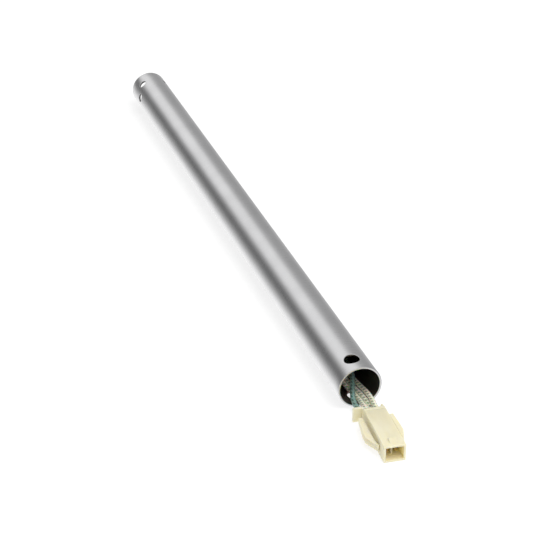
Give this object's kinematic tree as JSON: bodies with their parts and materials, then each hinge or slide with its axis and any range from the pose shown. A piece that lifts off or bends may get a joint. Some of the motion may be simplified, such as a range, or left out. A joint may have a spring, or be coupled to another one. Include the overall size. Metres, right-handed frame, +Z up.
{
  "type": "ceiling fan downrod",
  "caption": "Straight steel extension rod for a ceiling fan, cross-drilled at both ends, with a four-wire braided harness inside and a nylon snap-in plug at one end.",
  "frame": {"origin": "on the surface the tube lies on, under the middle of its length and width; the harness isn't counted", "axes": "+X along the tube towards the end that the plug comes out of, +Z up, +Y square to both, to the left when looking along +X"},
  "size_m": [0.514, 0.0266, 0.0267],
  "materials": {
    "tube_steel": "satin",
    "nylon_natural": "satin",
    "braid_white": "matte",
    "braid_green": "matte",
    "copper": "satin",
    "terminal_brass": "satin"
  },
  "bodies": {
    "root": {"downrod_tube": "tube_steel", "plug_housing": "nylon_natural", "receptacle_housing": "nylon_natural", "wire_jacket_white_left": "braid_white", "conductor_white_left": "copper", "pin_terminal_white_left": "terminal_brass", "socket_terminal_white_left": "terminal_brass", "wire_jacket_white_middle": "braid_white", "conductor_white_middle": "copper", "pin_terminal_white_middle": "terminal_brass", "socket_terminal_white_middle": "terminal_brass", "wire_jacket_white_right": "braid_white", "conductor_white_right": "copper", "pin_terminal_white_right": "terminal_brass", "socket_terminal_white_right": "terminal_brass", "wire_jacket_green": "braid_green", "conductor_green": "copper", "pin_terminal_green": "terminal_brass", "socket_terminal_green": "terminal_brass"},
    "wing_left": {"snap_wing_left": "nylon_natural"},
    "wing_right": {"snap_wing_right": "nylon_natural"},
    "latch": {"latch_lever": "nylon_natural"}
  },
  "joints": [
    {"name": "wing_left_flex", "type": "hinge", "parent": "root", "child": "wing_left", "pos_m": [0.27675, -0.00818, 0.0053], "axis": [0, 0, -1], "range_deg": [0, 2.8], "stiffness_Nm_per_rad": 2},
    {"name": "wing_right_flex", "type": "hinge", "parent": "root", "child": "wing_right", "pos_m": [0.27789, 0.00627, 0.0053], "axis": [0, 0, 1], "range_deg": [0, 2.8], "stiffness_Nm_per_rad": 2},
    {"name": "latch_rock", "type": "hinge", "parent": "root", "child": "latch", "pos_m": [-0.1781, 0, 0.01552], "axis": [0, 1, 0], "range_deg": [0, 7], "stiffness_Nm_per_rad": 0.6}
  ]
}
